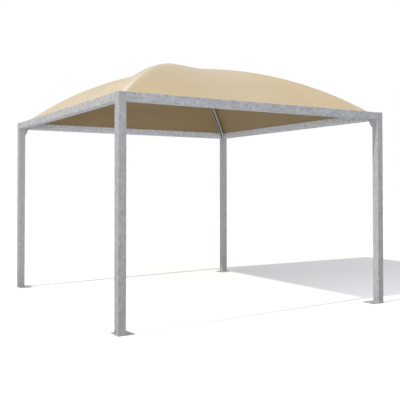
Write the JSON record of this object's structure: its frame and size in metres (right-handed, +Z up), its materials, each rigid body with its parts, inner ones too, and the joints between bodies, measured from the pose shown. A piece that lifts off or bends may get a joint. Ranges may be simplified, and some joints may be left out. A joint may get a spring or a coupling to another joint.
{
  "type": "gazebo",
  "caption": "Open square garden pavilion: a galvanised steel frame of posts and ring beams, with crossing arched bows under a stretched fabric canopy.",
  "frame": {"origin": "middle of the plan, at floor level under the base plates", "axes": "+Z up; +X towards the right side, -Y towards the front side of the square frame"},
  "size_m": [4, 4, 3.3863],
  "materials": {
    "galvanised_steel": "hot-dip galvanised, dull, with a faint spangle",
    "zinc_plated_steel": "zinc plated, satin",
    "aluminium": "mill finish, satin",
    "canopy_fabric": "coated woven fabric, satin"
  },
  "bodies": {
    "root": {"post_front_left": "galvanised_steel", "post_front_right": "galvanised_steel", "post_back_left": "galvanised_steel", "post_back_right": "galvanised_steel", "base_plate_front_left": "galvanised_steel", "base_plate_front_right": "galvanised_steel", "base_plate_back_left": "galvanised_steel", "base_plate_back_right": "galvanised_steel", "beam_front": "galvanised_steel", "beam_back": "galvanised_steel", "beam_left": "galvanised_steel", "beam_right": "galvanised_steel", "bow_bracket_front_left": "galvanised_steel", "bow_bracket_front_right": "galvanised_steel", "bow_bracket_back_left": "galvanised_steel", "bow_bracket_back_right": "galvanised_steel", "bow_front_left": "galvanised_steel", "bow_front_right": "galvanised_steel", "bow_back_left": "galvanised_steel", "bow_back_right": "galvanised_steel", "bow_bolts_front_left": "zinc_plated_steel", "bow_bolts_front_right": "zinc_plated_steel", "bow_bolts_back_left": "zinc_plated_steel", "bow_bolts_back_right": "zinc_plated_steel", "crown_hub": "galvanised_steel", "edge_rail_front": "aluminium", "edge_rail_back": "aluminium", "edge_rail_left": "aluminium", "edge_rail_right": "aluminium", "canopy_front": "canopy_fabric", "canopy_back": "canopy_fabric", "canopy_left": "canopy_fabric", "canopy_right": "canopy_fabric"}
  },
  "joints": []
}
